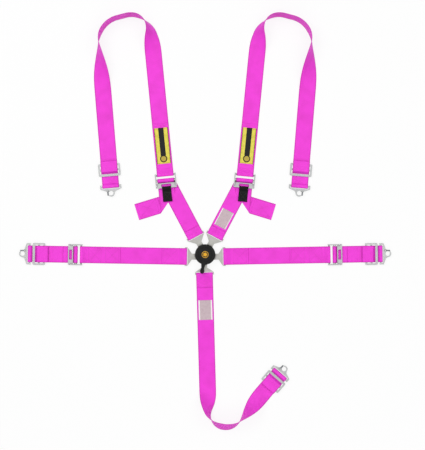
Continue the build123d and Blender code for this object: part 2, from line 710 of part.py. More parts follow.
def snap_hook(place):
    """A plate with a bar for the strap's end, a throat, a side mouth and the gate's rivet."""
    flat = along(place, 0, 0, hook_z - hook_t / 2)
    with BuildPart() as made:
        with BuildSketch(flat):
            with BuildLine():
                half = [
                    (-hook_back, hook_w / 2), (hook_neck + 1, hook_w / 2), (hook_neck + 8, nose_r + 3.5),
                    (throat_u, nose_r),
                ]
                Polyline(*half, *[(u, -v) for u, v in reversed(half)], close=True)
            make_face()
            with Locations((throat_u, 0)):
                Circle(nose_r)
            with Locations((hook_neck / 2 - 2.5, 0)):
                Rectangle(hook_neck + 5, hook_w - 2 * hook_lug, mode=Mode.SUBTRACT)
            with Locations((throat_u, 0)):
                Circle(throat_r, mode=Mode.SUBTRACT)
            with Locations((throat_u + 1, nose_r)):
                Rectangle(mouth_w, 2 * nose_r, mode=Mode.SUBTRACT)
        extrude(amount=hook_t)
        with BuildSketch(side(place)):
            with Locations((0, hook_z)):
                Circle(hook_bar_r)
        extrude(amount=hook_w / 2 - hook_lug, both=True)
        with BuildSketch(along(flat, *rivet_spot, hook_t)):
            Circle(rivet_r)
        extrude(amount=gate_t + 2 * gate_lift)
        with BuildSketch(along(flat, *rivet_spot, hook_t + gate_t + 2 * gate_lift)):
            Circle(rivet_r + rivet_head)
        extrude(amount=0.8)
    return made


def gate(place):
    """A strip over the mouth, with a flange that closes it."""
    flat = along(place, 0, 0, hook_z + hook_t / 2)
    reach = throat_u + 1 + mouth_w / 2 + 1
    with BuildPart() as made:
        with BuildSketch(along(flat, 0, 0, gate_lift)):
            with BuildLine():
                Line(rivet_spot, (reach, rivet_spot[1] - 0.6))
            trace(line_width=gate_w)
            with Locations(rivet_spot):
                Circle(2.6)
                Circle(rivet_r + rivet_play, mode=Mode.SUBTRACT)
        extrude(amount=gate_t)
        with BuildSketch(along(flat, 0, 0, gate_lift)):
            with Locations((throat_u + 1, rivet_spot[1] - 0.4)):
                Rectangle(mouth_w - 2 * gate_play, 1.8)
        extrude(amount=-hook_t)
    return made


for name, place, reach in (("lap", along(lap, lap_slide), short_reach), ("shoulder", upper_end, long_reach)):
    save_mirrored(slide(place), f"{name}_slide")
    save_mirrored(snap_hook(along(place, reach)), f"{name}_hook")
    save_mirrored(gate(along(place, reach)), f"{name}_gate")
save(slide(crotch_end), "crotch_slide")
save(snap_hook(along(crotch_end, short_reach)), "crotch_hook")
save(gate(along(crotch_end, short_reach)), "crotch_gate")


# ---------------------------------------------------------------- sewn labels
def label(place, height, u, length, width):
    """A flat label sewn on a strap, its middle at u along the lane."""
    with BuildPart() as made:
        with BuildSketch(along(place, u, 0, height)):
            RectangleRounded(length, width, 1)
        extrude(amount=label_t)
    return made


save_mirrored(label(upper, sewn_top, patch_u, patch_l, patch_w), "shoulder_patch")
save(label(lower, web_t, *shoulder_label), "shoulder_label")
save(label(crotch, web_t, *crotch_label), "crotch_label")
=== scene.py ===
"""Looks of a racing harness laid out flat: webbing, stitching, sewn labels and metal finishes.

The webbing, stitching and labels are surfaces worked out here.  The metal pieces are the
frame's own nodes with their finish.  Sizes are millimetres unless a name says otherwise.
"""
import json
import logging
import math
from dataclasses import dataclass
from enum import Enum
from typing import Optional

import bpy
import numpy as np
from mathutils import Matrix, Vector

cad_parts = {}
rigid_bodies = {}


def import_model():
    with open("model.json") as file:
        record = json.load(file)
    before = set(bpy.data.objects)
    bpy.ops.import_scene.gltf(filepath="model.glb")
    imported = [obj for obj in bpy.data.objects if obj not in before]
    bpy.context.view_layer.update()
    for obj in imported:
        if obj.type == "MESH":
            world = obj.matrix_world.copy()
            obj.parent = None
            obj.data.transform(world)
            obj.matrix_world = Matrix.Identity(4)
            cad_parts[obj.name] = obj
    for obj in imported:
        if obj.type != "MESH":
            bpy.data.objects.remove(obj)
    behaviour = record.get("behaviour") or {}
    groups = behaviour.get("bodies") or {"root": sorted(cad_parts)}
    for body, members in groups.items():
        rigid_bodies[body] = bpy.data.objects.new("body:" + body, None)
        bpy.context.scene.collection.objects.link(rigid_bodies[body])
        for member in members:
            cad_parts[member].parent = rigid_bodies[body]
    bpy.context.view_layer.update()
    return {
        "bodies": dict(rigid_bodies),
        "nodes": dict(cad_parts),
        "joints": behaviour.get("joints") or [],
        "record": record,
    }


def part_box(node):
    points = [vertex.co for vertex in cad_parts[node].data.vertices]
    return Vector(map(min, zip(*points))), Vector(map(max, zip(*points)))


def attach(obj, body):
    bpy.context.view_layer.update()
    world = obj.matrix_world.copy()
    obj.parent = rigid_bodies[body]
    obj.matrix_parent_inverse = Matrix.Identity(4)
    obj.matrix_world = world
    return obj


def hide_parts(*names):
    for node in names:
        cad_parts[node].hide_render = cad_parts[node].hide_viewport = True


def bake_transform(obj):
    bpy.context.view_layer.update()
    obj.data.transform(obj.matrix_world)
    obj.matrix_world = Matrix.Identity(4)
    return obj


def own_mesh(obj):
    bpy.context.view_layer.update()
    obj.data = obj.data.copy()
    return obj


log = logging.getLogger("harness")
MM = 0.001
LOW = 0.7       # height of the middle of webbing that lies on the floor
SEWN = 2.0      # height of the middle of a second ply, sewn on top of it
SEWN_TOP = 2.7  # height of the top of both
SEAM_HALF = 20  # half the width of a box of stitches on a strap
CUT = 2.6       # from an adjuster's middle to the cut end of the strap under it
GIVE = 70.0     # length from a strap's cut end to the second point handed over as between, which the piece does not read
UP = np.array([0.0, 0.0, 1.0])
Points = list[tuple[float, float]]
Route = tuple[Points, list[float]]  # corners (u, z) of a lane, and the radii of the inner ones
Surface = tuple[np.ndarray, list, np.ndarray]  # vertices and map in metres, and faces between
Socket = bpy.types.NodeSocket


class Side(Enum):
    """The side of the wearer; the left pieces are the right ones mirrored in x."""

    RIGHT = 1
    LEFT = -1


# ---------------- lanes and ribbons


@dataclass(frozen=True)
class Lane:
    """A straight lane on the floor: u runs along it, v across to its left, z up."""

    x: float
    y: float
    ahead_x: float
    ahead_y: float

    @property
    def ahead(self) -> np.ndarray:
        """The unit vector along the lane."""
        return np.array([self.ahead_x, self.ahead_y, 0.0])

    @property
    def left(self) -> np.ndarray:
        """The unit vector across the lane."""
        return np.array([-self.ahead_y, self.ahead_x, 0.0])

    def place(self, u: np.ndarray, z: np.ndarray) -> np.ndarray:
        """Points of the lane's middle line: origin plus u along and z up."""
        base = np.array([self.x, self.y, 0.0])
        return base + np.asarray(u)[:, None] * self.ahead + np.asarray(z)[:, None] * UP

    def moved(self, u: float) -> "Lane":
        """The same lane, started u further on."""
        return Lane(self.x + u * self.ahead_x, self.y + u * self.ahead_y, self.ahead_x, self.ahead_y)

    def turned(self) -> "Lane":
        """The same lane, run the other way."""
        return Lane(self.x, self.y, -self.ahead_x, -self.ahead_y)

    def turn_to(self, other: "Lane") -> float:
        """The angle from this lane's heading to another's, in radians."""
        return math.atan2(
            self.ahead_x * other.ahead_y - self.ahead_y * other.ahead_x,
            self.ahead_x * other.ahead_x + self.ahead_y * other.ahead_y,
        )


def joint(frame: dict, name: str) -> dict:
    """The frame's joint of that name."""
    return next(j for j in frame["joints"] if j["name"] == name)


def pin_lane(frame: dict, name: str) -> Lane:
    """The lane that starts at the buckle's centre and runs over an upright hinge."""
    x, y, _ = joint(frame, name)["pos_m"]
    reach = math.hypot(x, y)
    return Lane(0, 0, x / reach, y / reach)


def joint_lane(frame: dict, name: str, offset: float) -> Lane:
    """The lane of a hinge that lies across a strap.

    Args:
        frame: the loaded frame.
        name: the joint's name; its axis is the lane's right-hand direction.
        offset: the joint's place along the lane.

    Returns:
        The lane whose start is the joint's place less the offset.
    """
    hinge = joint(frame, name)
    x, y, _ = (c / MM for c in hinge["pos_m"])
    ahead_x, ahead_y = -hinge["axis"][1], hinge["axis"][0]
    return Lane(x - offset * ahead_x, y - offset * ahead_y, ahead_x, ahead_y)


def rounded(points: Points, radii: list[float], step: float = 2.5, arc: int = 8) -> np.ndarray:
    """A polyline with each corner replaced by a tangent arc.

    The arc of radius r at a corner of turn t starts r * tan(t / 2) before it and ends as far
    behind it.  Straight runs are divided into equal steps.

    Args:
        points: the corners in the plane.
        radii: one radius for each inner corner.
        step: the longest piece of a straight run.
        arc: pieces of each arc.

    Returns:
        An array of points, n by 2.
    """
    corners = np.asarray(points, float)
    pieces: list[np.ndarray] = []
    last = corners[0]
    for corner, ahead, behind, radius in zip(corners[1:-1], corners[2:], corners[:-2], radii):
        come, leave = corner - behind, ahead - corner
        come, leave = come / np.linalg.norm(come), leave / np.linalg.norm(leave)
        cross = come[0] * leave[1] - come[1] * leave[0]
        turn = math.atan2(cross, float(come @ leave))
        reach = radius * math.tan(abs(turn) / 2)
        start = corner - come * reach
        hand = math.copysign(1.0, turn)
        centre = start + hand * radius * np.array([-come[1], come[0]])
        count = max(arc, int(radius * abs(turn) / step))
        angle = math.atan2(*(start - centre)[::-1]) + np.linspace(0, turn, count + 1)
        pieces.append(straight(last, start, step))
        bend = centre + radius * np.stack([np.cos(angle), np.sin(angle)], 1)
        pieces.append(bend[:-1])
        last = bend[-1]
    pieces.append(straight(last, corners[-1], step))
    pieces.append(corners[-1:])
    return np.concatenate(pieces)


def straight(start: np.ndarray, end: np.ndarray, step: float) -> np.ndarray:
    """Evenly spaced points from start up to, not including, end."""
    count = max(1, int(np.linalg.norm(end - start) / step))
    share = np.linspace(0, 1, count, endpoint=False)[:, None]
    return start + (end - start) * share


def travelled(line: np.ndarray) -> np.ndarray:
    """The distance along a line to each of its points."""
    return np.concatenate([[0], np.cumsum(np.linalg.norm(np.diff(line, axis=0), axis=1))])


def unit(vectors: np.ndarray) -> np.ndarray:
    """Each row made one long."""
    return vectors / np.linalg.norm(vectors, axis=1, keepdims=True)


def smooth(share: np.ndarray) -> np.ndarray:
    """The ease 3 s^2 - 2 s^3 of a share held between 0 and 1."""
    held = np.clip(share, 0, 1)
    return held * held * (3 - 2 * held)


@dataclass
class Ribbon:
    """Webbing as a closed surface: a thin rounded section carried along a path.

    centre is the path of the section's middle and across the unit vector over its width.
    shear leans each section along the path, by shear millimetres for each one across.
    """

    centre: np.ndarray
    across: np.ndarray
    width: float = 50.0
    thickness: float = 1.4
    columns: int = 17
    shear: Optional[np.ndarray] = None

    @staticmethod
    def on(lane: Lane, points: Points, radii: list[float], **sizes: float) -> "Ribbon":
        """A ribbon whose middle runs through points (u, z) of a lane."""
        line = rounded(points, radii)
        centre = lane.place(line[:, 0], line[:, 1])
        return Ribbon(centre, np.tile(lane.left, (len(centre), 1)), **sizes)

    def then(self, other: "Ribbon") -> "Ribbon":
        """This ribbon carried on by another; a station within half a millimetre is shared."""
        first = int(np.linalg.norm(self.centre[-1] - other.centre[0]) < 0.5)
        return Ribbon(
            np.concatenate([self.centre, other.centre[first:]]),
            np.concatenate([self.across, other.across[first:]]),
            self.width, self.thickness, self.columns,
        )

    def refined(self, start: float, end: float, count: int) -> "Ribbon":
        """The same ribbon with more stations between two distances along its run."""
        old = self.run_length
        run_at = np.union1d(old, np.linspace(start, end, count))
        centre, across = (
            np.stack([np.interp(run_at, old, part[:, k]) for k in range(3)], 1)
            for part in (self.centre, self.across)
        )
        return Ribbon(centre, across, self.width, self.thickness, self.columns)

    @property
    def run_length(self) -> np.ndarray:
        """The distance along the path to each station."""
        return travelled(self.centre)

    def section(self) -> tuple[np.ndarray, np.ndarray]:
        """Offsets across and out of the section: flat faces, and half-round selvedges.

        The faces stand at 0.93 of half the thickness, and a cord 3 mm in from each selvedge
        rises to the whole of it.
        """
        cord_in, cord_w, crown = 3.0, 1.4, 0.07
        edge = self.width / 2 - self.thickness / 2
        flat = np.linspace(-edge, edge, self.columns)
        cord = np.exp(-((edge - np.abs(flat) - cord_in) / cord_w) ** 2)
        face = self.thickness / 2 * (1 - crown + crown * cord)
        over = np.concatenate([[-self.width / 2], flat, [self.width / 2], flat[::-1]])
        out = np.concatenate([[0], face, [0], -face[::-1]])
        return over, out

    def surface(self) -> Surface:
        """Vertices in metres, faces, and for each vertex its run and width in metres."""
        over, out = self.section()
        ahead = unit(np.gradient(self.centre, axis=0))
        normal = unit(np.cross(ahead, self.across))
        length = self.run_length
        shear = np.zeros(len(length)) if self.shear is None else self.shear
        grid = (
            self.centre[:, None]
            + over[None, :, None] * (self.across[:, None] + (shear[:, None] * ahead)[:, None])
            + out[None, :, None] * normal[:, None]
        )
        rows, ring = grid.shape[:2]
        index = np.arange(rows * ring).reshape(rows, ring)
        after = np.roll(index, -1, axis=1)
        walls = np.stack([index[:-1], index[1:], after[1:], after[:-1]], -1).reshape(-1, 4)
        faces = walls.tolist() + self.cap(index[0], False) + self.cap(index[-1], True)
        pattern = np.stack(np.broadcast_arrays(length[:, None], over[None]), -1).reshape(-1, 2)
        return grid.reshape(-1, 3) * MM, faces, pattern * MM

    def cap(self, ring: np.ndarray, far: bool) -> list:
        """Faces that close one end: quads between the two faces, a triangle at each selvedge."""
        count = self.columns
        top, bottom = ring[1:count + 1], ring[count + 2:][::-1]
        faces = [[top[i], top[i + 1], bottom[i + 1], bottom[i]] for i in range(count - 1)]
        faces += [[ring[0], top[0], bottom[0]], [top[-1], ring[count + 1], bottom[-1]]]
        return [[int(i) for i in (face[::-1] if far else face)] for face in faces]


def new_object(name: str, data: bpy.types.ID) -> bpy.types.Object:
    """One object in the scene, at the origin."""
    made = bpy.data.objects.new(name, data)
    bpy.context.scene.collection.objects.link(made)
    return made


def make_object(name: str, surfaces: list[Surface], side: Side = Side.RIGHT) -> bpy.types.Object:
    """One mesh object from several surfaces.

    Args:
        name: the object's name.
        surfaces: its surfaces.
        side: LEFT mirrors the vertices in x and turns the faces round.

    Returns:
        The object, at the origin, with a UV map named run.
    """
    vertices, faces, patterns, count = [], [], [], 0
    for points, polygons, pattern in surfaces:
        vertices.append(points)
        patterns.append(pattern)
        faces += [[i + count for i in polygon] for polygon in polygons]
        count += len(points)
    places, pattern = np.concatenate(vertices), np.concatenate(patterns)
    if side is Side.LEFT:
        places = places * np.array([-1, 1, 1])
        faces = [face[::-1] for face in faces]
    mesh = bpy.data.meshes.new(name)
    mesh.from_pydata(places.tolist(), [], faces)
    mesh.polygons.foreach_set("use_smooth", np.ones(len(mesh.polygons), bool))
    corner = np.empty(len(mesh.loops), int)
    mesh.loops.foreach_get("vertex_index", corner)
    mesh.uv_layers.new(name="run").data.foreach_set("uv", pattern[corner].ravel())
    mesh.update()
    return new_object(name, mesh)


# ---------------- stitching


@dataclass(frozen=True)
class Thread:
    """Sewing thread: each stitch is a short round-ended bump of thread."""

    stitch: float = 3.4
    pitch: float = 4.4
    width: float = 0.8
    height: float = 0.7
    rings: int = 4
    sides: int = 6

    def bump(self) -> tuple[np.ndarray, np.ndarray]:
        """One stitch of unit size: an ellipsoid's poles and rings, and its faces as triangles.

        Returns:
            Vertices (x along the stitch) and triangles.
        """
        polar = np.linspace(0, math.pi, self.rings + 2)[1:-1, None]
        round_it = np.linspace(0, 2 * math.pi, self.sides, endpoint=False)[None]
        rings = np.stack(np.broadcast_arrays(
            -np.cos(polar), np.sin(polar) * np.cos(round_it), np.sin(polar) * np.sin(round_it)), -1)
        points = np.concatenate([[[-1, 0, 0]], rings.reshape(-1, 3), [[1, 0, 0]]]) / 2
        index = 1 + np.arange(self.rings * self.sides).reshape(self.rings, self.sides)
        after = np.roll(index, -1, axis=1)
        low, high = np.zeros_like(index[0]), np.full_like(index[0], len(points) - 1)
        triangles = np.concatenate([
            np.stack([low, after[0], index[0]], -1),
            np.stack([index[:-1], after[:-1], after[1:]], -1).reshape(-1, 3),
            np.stack([index[:-1], after[1:], index[1:]], -1).reshape(-1, 3),
            np.stack([high, index[-1], after[-1]], -1),
        ])
        return points, triangles

    def seam(self, lane: Lane, z: float, lines: list[tuple]) -> Surface:
        """Stitches along straight lines of a lane.

        Args:
            lane: the lane of the strap.
            z: the height of the cloth that is sewn.
            lines: (u, v) start and (u, v) end of each line of stitches.

        Returns:
            Vertices in metres, faces, and a pattern place for each vertex.
        """
        points, triangles = self.bump()
        vertices = []
        for start, end in lines:
            start, end = np.asarray(start, float), np.asarray(end, float)
            span = np.linalg.norm(end - start)
            ahead = (end - start) / span
            count = max(1, int(span / self.pitch))
            middle = start + (end - start) * ((np.arange(count) + 0.5) / count)[:, None]
            beside = np.array([-ahead[1], ahead[0]])
            long, wide = points[:, :1] * self.stitch * ahead, points[:, 1:2] * self.width * beside
            flat = middle[:, None] + (long + wide)[None]
            high = z + np.broadcast_to(points[:, 2] * self.height, flat.shape[:2])
            base = lane.place(flat[..., 0].ravel(), high.ravel())
            vertices.append(base + flat[..., 1].reshape(-1, 1) * lane.left)
        places = np.concatenate(vertices)
        first = np.arange(0, len(places), len(points))[:, None, None]
        faces = (first + triangles[None]).reshape(-1, 3).tolist()
        return places * MM, faces, places[:, :2] * MM


def box_seam(start: float, end: float, half: float, crossed: bool = True) -> list[tuple]:
    """The lines of a box of stitches from u = start to end, with a cross inside it."""
    a, b, c, d = (start, -half), (end, -half), (end, half), (start, half)
    lines = [(a, b), (b, c), (c, d), (d, a)]
    return lines + [(a, c), (b, d)] if crossed else lines


def bar_seam(half: float, *places: float) -> list[tuple]:
    """Rows of stitches across a strap, one at each place along it."""
    return [((u, -half), (u, half)) for u in places]


# ---------------- finishes


def shade(code: str) -> tuple[float, float, float, float]:
    """A colour written as sRGB hex, turned to linear by the sRGB curve, with alpha 1."""
    parts = np.array([int(code[i:i + 2], 16) for i in (1, 3, 5)]) / 255
    linear = np.where(parts <= 0.04045, parts / 12.92, ((parts + 0.055) / 1.055) ** 2.4)
    return (*(float(c) for c in linear), 1.0)


def feed(tree: bpy.types.NodeTree, node: bpy.types.Node, **links: object) -> None:
    """Set or link inputs of a node.

    Args:
        tree: the material's or world's node tree.
        node: the node.
        **links: a value or another node's output for each input, by its name with _ for space,
            or by its number as in0, in1.
    """
    for name, value in links.items():
        numbered = name[:2] == "in" and name[2:].isdigit()
        socket = node.inputs[int(name[2:]) if numbered else name.replace("_", " ")]
        if isinstance(value, Socket):
            tree.links.new(value, socket)
        else:
            socket.default_value = value


def add(
    tree: bpy.types.NodeTree, kind: str, settings: Optional[dict] = None, **links: object
) -> bpy.types.Node:
    """Add one node.

    Args:
        tree: the material's or world's node tree.
        kind: the node's type, without the ShaderNode in front.
        settings: properties of the node.
        **links: its inputs, as for feed.

    Returns:
        The node.
    """
    node = tree.nodes.new("ShaderNode" + kind)
    for name, value in (settings or {}).items():
        setattr(node, name, value)
    feed(tree, node, **links)
    return node


def ramp(tree: bpy.types.NodeTree, factor: Socket, *stops: tuple[float, str]) -> Socket:
    """A colour ramp with the given (place, hex colour) stops; returns its colour output."""
    node = add(tree, "ValToRGB", Fac=factor)
    elements = node.color_ramp.elements
    while len(elements) < len(stops):
        elements.new(0.5)
    for element, (place, code) in zip(elements, stops):
        element.position = place
        element.color = shade(code)
    return node.outputs["Color"]


class Look:
    """A material being made: its tree, its shader, and short ways to add common nodes."""

    def __init__(self, name: str) -> None:
        """A new material of that name, with its shader on its output."""
        self.material = bpy.data.materials.new(name)
        self.material.use_nodes = True
        self.tree = self.material.node_tree
        self.tree.nodes.clear()
        self.shader = add(self.tree, "BsdfPrincipled")
        self.output = add(self.tree, "OutputMaterial", Surface=self.shader.outputs["BSDF"])

    def place(self) -> Socket:
        """Object coordinates, in metres."""
        return add(self.tree, "TexCoord").outputs["Object"]

    def run(self) -> Socket:
        """The piece's own map: X runs along it and Y out from its middle line, in metres."""
        return add(self.tree, "UVMap", {"uv_map": "run"}).outputs["UV"]

    def part(self, vector: Socket, axis: str) -> Socket:
        """One coordinate of a vector."""
        return add(self.tree, "SeparateXYZ", Vector=vector).outputs[axis]

    def noise(self, place: Socket, scale: float, detail: float = 2.0, rough: float = 0.5) -> Socket:
        """Cloudy noise between 0 and 1."""
        node = add(self.tree, "TexNoise", Vector=place, Scale=scale, Detail=detail, Roughness=rough)
        return node.outputs["Fac"]

    def bands(self, place: Socket, pitch: float, direction: str) -> Socket:
        """Even bands, pitch millimetres apart; a wave of scale s repeats each 0.314 / s."""
        settings = {"bands_direction": direction}
        node = add(self.tree, "TexWave", settings, Vector=place, Scale=0.314 / (pitch * MM), Distortion=0.0)
        return node.outputs["Fac"]

    def calc(self, operation: str, *values: object) -> Socket:
        """The result of a Math node on up to three values."""
        inputs = {f"in{k}": value for k, value in enumerate(values)}
        return add(self.tree, "Math", {"operation": operation}, **inputs).outputs[0]

    def beyond(self, value: Socket, limit: float) -> Socket:
        """1 where the value is past limit millimetres, else 0."""
        return self.calc("GREATER_THAN", value, limit * MM)

    def within(self, value: Socket, limit: float) -> Socket:
        """1 where the value is less than limit millimetres, else 0."""
        return self.calc("LESS_THAN", value, limit * MM)

    def mapped(
        self, value: Socket, low: float, high: float, to_low: float = 0.0, to_high: float = 1.0,
        kind: str = "LINEAR",
    ) -> Socket:
        """The value's range from low to high carried over to another."""
        return add(
            self.tree, "MapRange", {"interpolation_type": kind}, Value=value,
            From_Min=low, From_Max=high, To_Min=to_low, To_Max=to_high,
        ).outputs[0]

    def mix(self, factor: object, under: object, over: object, blend: str = "MIX") -> Socket:
        """One colour laid over another by a factor."""
        settings = {"data_type": "RGBA", "blend_type": blend}
        return add(self.tree, "Mix", settings, Factor=factor, in6=under, in7=over).outputs[2]

    def finish(self, grain: Socket, strength: float, depth: float, **links: object) -> bpy.types.Material:
        """Join the shader up and hand over the material.

        Args:
            grain: the height of the surface's grain.
            strength: how strongly the grain shows.
            depth: how high it stands, in millimetres.
            **links: the shader's inputs, as for feed.

        Returns:
            The material.
        """
        bump = add(self.tree, "Bump", Strength=strength, Distance=depth * MM, Height=grain)
        feed(self.tree, self.shader, Normal=bump.outputs[0], **links)
        return self.material


@dataclass(frozen=True)
class WovenWebbing:
    """Polyester seat belt webbing: a tight warp-faced twill with a slight sheen.

    The warp cords run along the strap and catch the light as fine lengthwise ribs; the weft
    shows as a shallow diagonal twill, and the hollows of the weave are also painted darker as
    painted shade.  The ribs of the real webbing are about 1 mm apart and are drawn at twice
    that, so that they show.  The selvedges are only ribbed, and painted darker as painted shade
    of their rounded edges.
    """

    name: str
    colour: str
    deep: str
    # selvedge: the darker colour of the border, painted shade of the rounded edge
    selvedge: str
    half_width: float = 25.0
    rib: float = 2.1
    twill: float = 3.2
    twill_turn: float = 52.0
    border: float = 2.6
    roughness: float = 0.62
    sheen: float = 0.08
    specular: float = 0.4

    def build(self) -> bpy.types.Material:
        """The material, on the piece's own run map."""
        look = Look(self.name)
        run = look.run()
        ribs = look.bands(run, self.rib, "Y")
        lean = add(look.tree, "Mapping", Vector=run, Rotation=(0.0, 0.0, math.radians(self.twill_turn)))
        weave = look.calc("MULTIPLY", ribs, look.bands(lean.outputs[0], self.twill, "X"))
        out = look.calc("ABSOLUTE", look.part(run, "Y"))
        inner = self.half_width - self.border
        # painted shade: edge masks the selvedge border, which is painted darker below
        edge = look.mapped(out, (inner - 0.7) * MM, (inner + 0.3) * MM, kind="SMOOTHSTEP")
        dye = ramp(look.tree, look.noise(run, scale=28.0, detail=5.0), (0.25, self.deep), (0.58, self.colour))
        # painted shade: the weave's hollows darken the colour
        painted_weave_shade = ramp(look.tree, weave, (0.0, "#9A9A9A"), (0.55, "#FFFFFF"))
        # painted shade: the border is ribbed from the selvedge colour to deep, standing in for the rounded
        # edge's shade
        hem = ramp(look.tree, ribs, (0.0, self.selvedge), (1.0, self.deep))
        return look.finish(
            look.calc("MULTIPLY_ADD", look.noise(run, scale=2600.0), 0.35, weave), strength=0.7, depth=0.4,
            Base_Color=look.mix(edge, look.mix(0.26, dye, painted_weave_shade, "MULTIPLY"), hem),
            Roughness=self.roughness, Specular_IOR_Level=self.specular,
            Sheen_Weight=self.sheen, Sheen_Roughness=0.4,
        )


@dataclass(frozen=True)
class SewingThread:
    """Bonded nylon thread: smooth, with a soft shine and a fine lay of its plies."""

    name: str
    colour: str
    deep: str

    def build(self) -> bpy.types.Material:
        """The material, on Object coordinates."""
        look = Look(self.name)
        plies = look.noise(look.place(), scale=1500.0)
        colour = ramp(look.tree, plies, (0.3, self.deep), (0.65, self.colour))
        return look.finish(plies, strength=0.3, depth=0.1, Base_Color=colour, Roughness=0.45)


@dataclass(frozen=True)
class PlatedSteel:
    """Pressed steel with a bright plated skin: cool grey, with faint clouding and fine scratches.

    Its skin is smooth, so it mirrors softly; handling leaves lighter rubbed places and dull
    film in others.  Corners narrower than crevice are painted darker, as painted shade.
    """

    name: str
    colour: str
    worn: str
    roughness: float
    grain: float = 900.0
    crevice: float = 7.0

    def build(self) -> bpy.types.Material:
        """The material, on Object coordinates."""
        look = Look(self.name)
        place = look.place()
        cloud = look.noise(place, scale=70.0, detail=5.0, rough=0.6)
        skin = ramp(look.tree, cloud, (0.3, self.worn), (0.7, self.colour))
        # painted shade: ambient occlusion darkens the colour in corners narrower than crevice
        room = add(look.tree, "AmbientOcclusion", {"samples": 8}, Distance=self.crevice * MM).outputs["AO"]
        painted_crevice_shade = ramp(look.tree, room, (0.25, "#4A4742"), (0.85, "#FFFFFF"))
        stretch = add(look.tree, "Mapping", Vector=place, Scale=(1.0, 0.12, 1.0)).outputs[0]
        return look.finish(
            look.noise(stretch, scale=self.grain, detail=3.0), strength=0.12, depth=0.05,
            Base_Color=look.mix(1.0, skin, painted_crevice_shade, "MULTIPLY"), Metallic=1.0,
            Roughness=look.mapped(cloud, 0.3, 0.7, self.roughness + 0.08, self.roughness - 0.05),
        )


@dataclass(frozen=True)
class RaisedBadge:
    """A pressed brass badge: the ground is filled with black enamel, the raised work is bare."""

    name: str
    brass: str
    ground: str
    raised_from: float = 23.55

    def build(self) -> bpy.types.Material:
        """The material, on Object coordinates: brass where the height is past raised_from."""
        look = Look(self.name)
        place = look.place()
        bare = look.beyond(look.part(place, "Z"), self.raised_from)
        colour = look.mix(bare, shade(self.ground), shade(self.brass))
        return look.finish(
            look.noise(place, scale=900.0), strength=0.15, depth=0.05,
            Base_Color=colour, Metallic=bare, Roughness=0.34,
        )


@dataclass(frozen=True)
class Enamel:
    """Stoved gloss enamel on metal: near black, with a faint orange peel that breaks up shine."""

    name: str
    colour: str
    deep: str
    roughness: float = 0.42
    specular: float = 0.28

    def build(self) -> bpy.types.Material:
        """The material, on Object coordinates."""
        look = Look(self.name)
        place = look.place()
        cloud = look.noise(place, scale=160.0, detail=4.0)
        return look.finish(
            look.noise(place, scale=700.0), strength=0.2, depth=0.08,
            Base_Color=ramp(look.tree, cloud, (0.35, self.deep), (0.65, self.colour)),
            Roughness=self.roughness, Specular_IOR_Level=self.specular,
        )


@dataclass(frozen=True)
class SatinLabel:
    """A woven satin label: fine crosswise yarns, a turned border and ruled fields left empty."""

    name: str
    colour: str
    deep: str
    rule: str
    hem: str
    half_width: float = 18.5
    border: float = 2.0
    yarn: float = 0.9
    pitch: float = 2.9

    def build(self) -> bpy.types.Material:
        """The material, on the piece's own run map."""
        look = Look(self.name)
        run = look.run()
        soil = look.noise(run, scale=120.0, detail=3.0)
        base = ramp(look.tree, soil, (0.3, self.deep), (0.6, self.colour))
        line = look.mapped(look.bands(run, self.pitch, "X"), 0.66, 0.86, to_high=0.8)
        margin = look.beyond(look.calc("ABSOLUTE", look.part(run, "Y")), self.half_width - self.border)
        ruled = look.mix(line, base, shade(self.rule))
        return look.finish(
            look.bands(run, self.yarn, "X"), strength=0.3, depth=0.15,
            Base_Color=look.mix(margin, ruled, shade(self.hem)), Roughness=0.5, Sheen_Weight=0.2,
        )


@dataclass(frozen=True)
class StripedPatch:
    """A woven patch: a yellow field, thin dark edges, and a plain dark stripe with a roundel.

    The run map starts at the patch's lower end.  The stripe reaches stripe to each side of the
    middle line, and the roundel's ring stands on it near the lower end.
    """

    name: str
    colour: str
    deep: str
    dark: str
    disc: str
    half_width: float = 21.0
    stripe: float = 8.0
    stripe_from: float = 24.0
    roundel_at: float = 15.0
    roundel_r: float = 11.0
    disc_r: float = 7.8
    border: float = 1.6
    yarn: float = 1.3

    def build(self) -> bpy.types.Material:
        """The material, on the piece's own run map."""
        look = Look(self.name)
        run = look.run()
        out = look.calc("ABSOLUTE", look.part(run, "Y"))
        middle = (self.roundel_at * MM, 0.0, 0.0)
        spot = add(look.tree, "VectorMath", {"operation": "DISTANCE"}, in0=run, in1=middle).outputs["Value"]
        started = look.beyond(look.part(run, "X"), self.stripe_from)
        layers = (
            (look.calc("MULTIPLY", look.within(out, self.stripe), started), self.dark),
            (look.within(spot, self.roundel_r), self.dark),
            (look.within(spot, self.disc_r), self.disc),
            (look.beyond(out, self.half_width - self.border), self.dark),
        )
        cloud = look.noise(run, scale=90.0, detail=4.0)
        colour = ramp(look.tree, cloud, (0.3, self.deep), (0.62, self.colour))
        for mask, code in layers:
            colour = look.mix(mask, colour, shade(code))
        return look.finish(
            look.bands(run, self.yarn, "DIAGONAL"), strength=0.35, depth=0.2,
            Base_Color=colour, Roughness=0.55, Specular_IOR_Level=0.3,
        )


